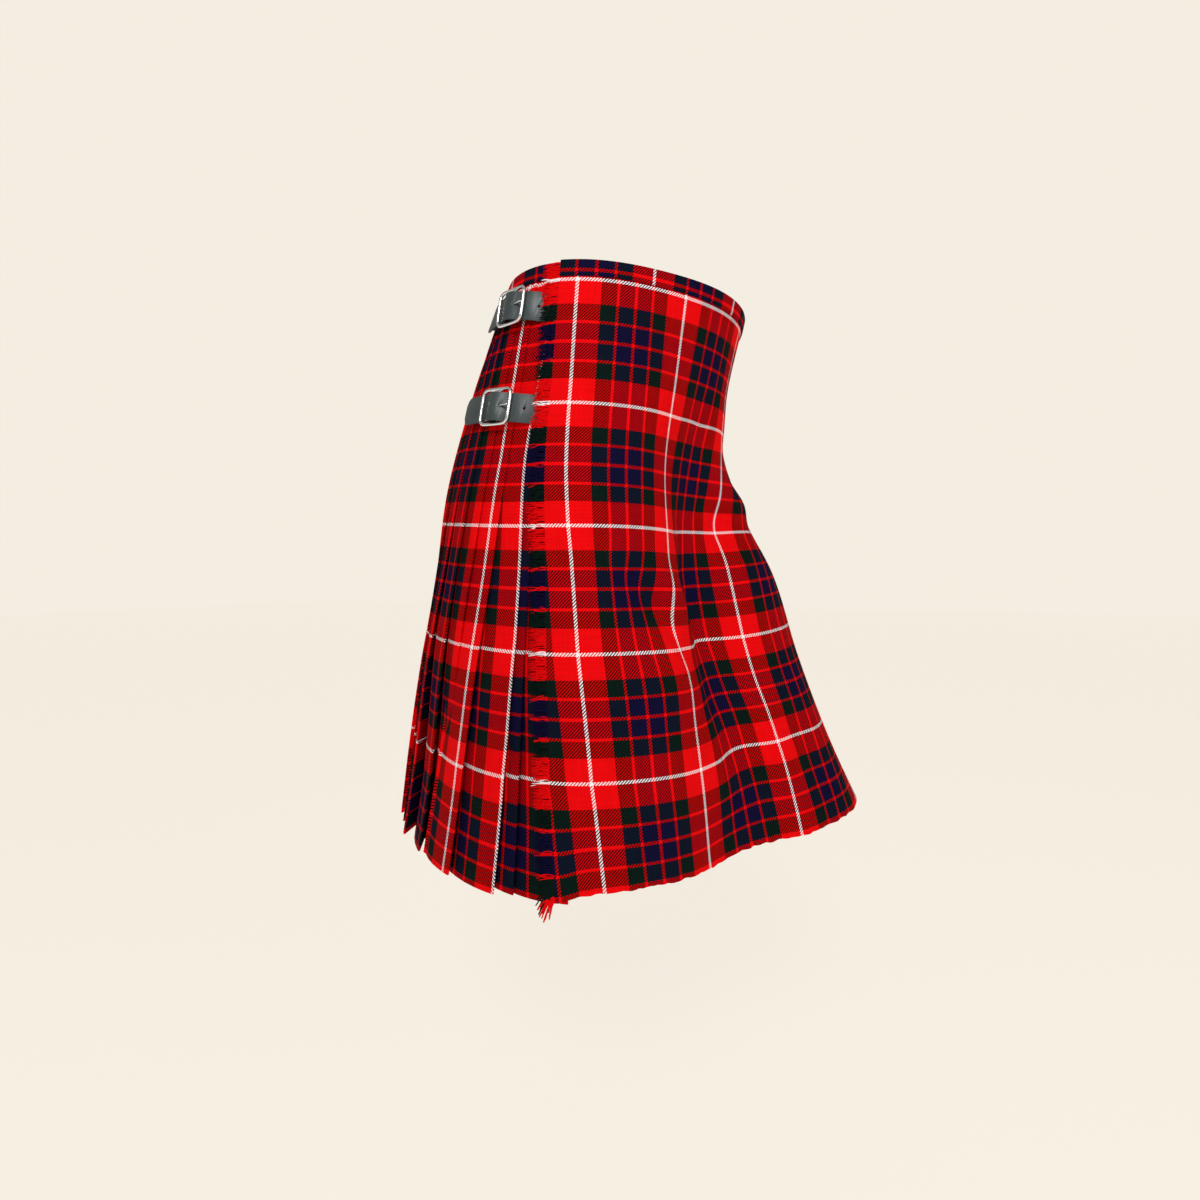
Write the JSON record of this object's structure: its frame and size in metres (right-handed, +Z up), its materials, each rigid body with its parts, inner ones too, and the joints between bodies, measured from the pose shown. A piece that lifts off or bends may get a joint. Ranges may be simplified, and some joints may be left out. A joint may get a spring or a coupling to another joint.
{
  "type": "scottish kilt",
  "caption": "Worn knee-length tartan kilt with crossed aprons, a knife-pleated back, a narrow waistband, a fringed apron edge and leather straps with centre-bar buckles.",
  "frame": {"origin": "the middle of the waist, level with the top edge of the cloth, where the wearer's waist holds the kilt up", "axes": "+Z up; -Y the wearer's front, where the aprons cross; -X the wearer's right, where the over-apron's fringed edge and its two buckles are"},
  "size_m": [0.4206, 0.5233, 0.5975],
  "materials": {
    "tartan": "worsted wool twill woven in a red, green, navy and white check",
    "fringe_yarn": "loose wool weft yarns",
    "leather": "black grained strap leather with a soft sheen",
    "chrome": "polished plated buckle metal"
  },
  "bodies": {
    "root": {"over_apron": "tartan", "under_apron": "tartan", "pleats": "tartan", "band_over": "tartan", "band_under": "tartan", "band_pleats": "tartan", "fringe": "fringe_yarn", "waist_strap": "leather", "waist_chape": "leather", "waist_buckle": "chrome", "waist_prong": "chrome", "hip_strap": "leather", "hip_chape": "leather", "hip_buckle": "chrome", "hip_prong": "chrome", "left_strap": "leather", "left_chape": "leather", "left_buckle": "chrome", "left_prong": "chrome"}
  },
  "joints": []
}
